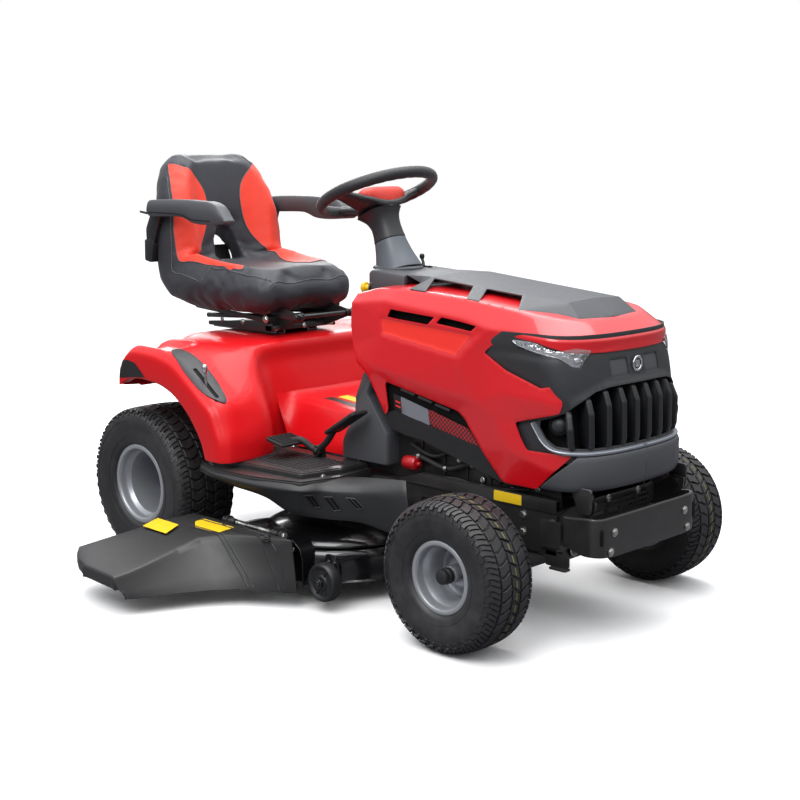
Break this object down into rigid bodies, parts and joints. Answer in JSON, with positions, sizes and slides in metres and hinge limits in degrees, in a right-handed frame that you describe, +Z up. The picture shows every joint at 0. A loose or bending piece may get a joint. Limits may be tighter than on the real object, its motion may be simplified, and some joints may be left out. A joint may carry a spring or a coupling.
{
  "type": "riding lawn mower",
  "caption": "Front-engine riding lawn mower with tipping hood, high-back seat with folding armrests, steered front axle and a liftable side-discharge cutting deck.",
  "frame": {"origin": "on the ground under the middle of the whole machine's box, chute included", "axes": "+X towards the front of the machine, +Y to its left, +Z up"},
  "size_m": [1.745, 1.357, 1.2067],
  "materials": {
    "red_plastic": "gloss",
    "red_fender": "gloss",
    "grey_plastic": "matte",
    "black_plastic": "matte",
    "black_steel": "satin",
    "silver_paint": "satin",
    "zinc": "satin",
    "steel": "satin",
    "tyre": "matte",
    "rubber": "matte",
    "vinyl_dark": "satin",
    "lens": "polished",
    "aluminium": "satin",
    "tank": "satin",
    "yellow_plastic": "gloss",
    "grip": "matte"
  },
  "bodies": {
    "chassis": {"frame_rail_right": "black_steel", "frame_rail_left": "black_steel", "cross_members": "black_steel", "hitch_plate": "black_steel", "front_bumper": "black_steel", "bumper_bolts": "zinc", "muffler_guard": "black_steel", "axle_pin": "steel", "engine": "aluminium", "muffler": "steel", "fuel_tank": "tank", "transaxle": "aluminium", "rear_fender": "red_fender", "lever_plate": "grey_plastic", "foot_board_right": "black_plastic", "foot_board_left": "black_plastic", "console": "grey_plastic", "column_cone": "grey_plastic", "column_collar": "grey_plastic", "seat_rails": "black_steel"},
    "axle": {"front_axle": "black_steel"},
    "steer_right": {"knuckle_right": "black_steel"},
    "steer_left": {"knuckle_left": "black_steel"},
    "track_rod": {"tie_rod": "zinc"},
    "front_wheel_right": {"front_rim_right": "silver_paint", "front_tyre_right": "tyre"},
    "front_wheel_left": {"front_rim_left": "silver_paint", "front_tyre_left": "tyre"},
    "rear_wheel_right": {"rear_rim_right": "silver_paint", "rear_tyre_right": "tyre", "axle_shaft_right": "steel"},
    "rear_wheel_left": {"rear_rim_left": "silver_paint", "rear_tyre_left": "tyre", "axle_shaft_left": "steel"},
    "hood": {"hood_shell": "red_plastic", "hood_cover": "grey_plastic", "hood_fascia": "grey_plastic", "grille": "grey_plastic", "headlamps": "lens", "bumper_band": "grey_plastic"},
    "wheel": {"steering_wheel": "grip", "steering_shaft": "steel"},
    "seat_base": {"seat_slide": "black_steel"},
    "seat": {"seat_pan": "black_steel", "seat_cushion": "vinyl_dark", "seat_back": "vinyl_dark"},
    "arm_right": {"armrest_right": "grey_plastic"},
    "arm_left": {"armrest_left": "grey_plastic"},
    "drive_pedal_body": {"drive_pedal": "rubber"},
    "brake_pedal_body": {"brake_pedal": "rubber"},
    "deck": {"deck_shell": "black_steel"},
    "cutter_right": {"blade_right": "black_steel"},
    "cutter_left": {"blade_left": "black_steel"},
    "gauge_right": {"gauge_wheel_right": "black_plastic"},
    "gauge_left": {"gauge_wheel_left": "black_plastic"},
    "chute_body": {"chute": "grey_plastic"},
    "lift_lever_body": {"lift_lever": "zinc"},
    "throttle_body": {"throttle_lever": "black_plastic"},
    "key_body": {"ignition_key": "zinc"},
    "knob_body": {"blade_knob": "yellow_plastic"}
  },
  "joints": [
    {"name": "axle_rock", "type": "hinge", "parent": "chassis", "child": "axle", "pos_m": [0.594, 0.175, 0.172], "axis": [1, 0, 0], "range_deg": [-4, 4]},
    {"name": "steering", "type": "hinge", "parent": "chassis", "child": "wheel", "pos_m": [-0.088, 0.175, 1.076], "axis": [-0.3633, 0, 0.9317], "range_deg": [-200, 200]},
    {"name": "kingpin_right", "type": "hinge", "parent": "axle", "child": "steer_right", "pos_m": [0.594, -0.125, 0.236], "axis": [0, 0, 1], "range_deg": [-35.5, 35.5]},
    {"name": "kingpin_left", "type": "hinge", "parent": "axle", "child": "steer_left", "pos_m": [0.594, 0.475, 0.236], "axis": [0, 0, 1], "range_deg": [-35.5, 35.5]},
    {"name": "tie_rod_eye", "type": "hinge", "parent": "steer_right", "child": "track_rod", "pos_m": [0.494, -0.125, 0.188], "axis": [0, 0, 1], "range_deg": [-35.5, 35.5]},
    {"name": "front_roll_right", "type": "hinge", "parent": "steer_right", "child": "front_wheel_right", "pos_m": [0.594, -0.237, 0.19], "axis": [0, 1, 0], "continuous": true},
    {"name": "front_roll_left", "type": "hinge", "parent": "steer_left", "child": "front_wheel_left", "pos_m": [0.594, 0.587, 0.19], "axis": [0, 1, 0], "continuous": true},
    {"name": "rear_roll_right", "type": "hinge", "parent": "chassis", "child": "rear_wheel_right", "pos_m": [-0.606, -0.223, 0.228], "axis": [0, 1, 0], "continuous": true},
    {"name": "rear_roll_left", "type": "hinge", "parent": "chassis", "child": "rear_wheel_left", "pos_m": [-0.606, 0.573, 0.228], "axis": [0, 1, 0], "continuous": true},
    {"name": "hood_tip", "type": "hinge", "parent": "chassis", "child": "hood", "pos_m": [0.814, 0.175, 0.35], "axis": [0, 1, 0], "range_deg": [0, 62]},
    {"name": "seat_slide_fore", "type": "slide", "parent": "chassis", "child": "seat_base", "axis": [1, 0, 0], "range_m": [-0.05, 0.05]},
    {"name": "seat_tip", "type": "hinge", "parent": "seat_base", "child": "seat", "pos_m": [-0.316, 0.175, 0.712], "axis": [0, 1, 0], "range_deg": [0, 55]},
    {"name": "arm_fold_right", "type": "hinge", "parent": "seat", "child": "arm_right", "pos_m": [-0.811, -0.07, 1.02], "axis": [0, -1, 0], "range_deg": [0, 88]},
    {"name": "arm_fold_left", "type": "hinge", "parent": "seat", "child": "arm_left", "pos_m": [-0.811, 0.42, 1.02], "axis": [0, -1, 0], "range_deg": [0, 88]},
    {"name": "drive_pedal_rock", "type": "hinge", "parent": "chassis", "child": "drive_pedal_body", "pos_m": [-0.06, -0.091, 0.374], "axis": [0, 1, 0], "range_deg": [-9, 12], "stiffness_Nm_per_rad": 12},
    {"name": "brake_press", "type": "hinge", "parent": "chassis", "child": "brake_pedal_body", "pos_m": [-0.06, 0.441, 0.374], "axis": [0, 1, 0], "range_deg": [0, 22], "stiffness_Nm_per_rad": 12},
    {"name": "deck_lift", "type": "slide", "parent": "chassis", "child": "deck", "axis": [0, 0, 1], "range_m": [-0.02, 0.04]},
    {"name": "lift_lever_swing", "type": "hinge", "parent": "chassis", "child": "lift_lever_body", "pos_m": [-0.294, -0.291, 0.43], "axis": [0, 1, 0], "range_deg": [-10.5, 20.5]},
    {"name": "blade_spin_right", "type": "hinge", "parent": "deck", "child": "cutter_right", "pos_m": [-0.021, -0.043, 0.12], "axis": [0, 0, 1], "continuous": true},
    {"name": "blade_spin_left", "type": "hinge", "parent": "deck", "child": "cutter_left", "pos_m": [-0.021, 0.393, 0.12], "axis": [0, 0, 1], "continuous": true},
    {"name": "gauge_roll_right", "type": "hinge", "parent": "deck", "child": "gauge_right", "pos_m": [0.156, -0.267, 0.08], "axis": [0, 1, 0], "continuous": true},
    {"name": "gauge_roll_left", "type": "hinge", "parent": "deck", "child": "gauge_left", "pos_m": [0.156, 0.617, 0.08], "axis": [0, 1, 0], "continuous": true},
    {"name": "chute_fold", "type": "hinge", "parent": "deck", "child": "chute_body", "pos_m": [-0.086, -0.303, 0.19], "axis": [-1, 0, 0], "range_deg": [0, 40]},
    {"name": "throttle_swing", "type": "hinge", "parent": "chassis", "child": "throttle_body", "pos_m": [0.034, 0.245, 0.845], "axis": [0, 1, 0], "range_deg": [-25, 25]},
    {"name": "key_turn", "type": "hinge", "parent": "chassis", "child": "key_body", "pos_m": [-0.066, 0.245, 0.815], "axis": [1, 0, 0], "range_deg": [0, 60]},
    {"name": "knob_pull", "type": "slide", "parent": "chassis", "child": "knob_body", "axis": [-1, 0, 0], "range_m": [0, 0.012]}
  ],
  "couplings": [
    {"joint": "kingpin_right", "follows": "steering", "ratio": 0.175},
    {"joint": "kingpin_left", "follows": "steering", "ratio": 0.175},
    {"joint": "tie_rod_eye", "follows": "steering", "ratio": -0.175},
    {"joint": "lift_lever_swing", "follows": "deck_lift", "rad_per_m": 8.7266},
    {"joint": "blade_spin_left", "follows": "blade_spin_right", "ratio": 1}
  ]
}
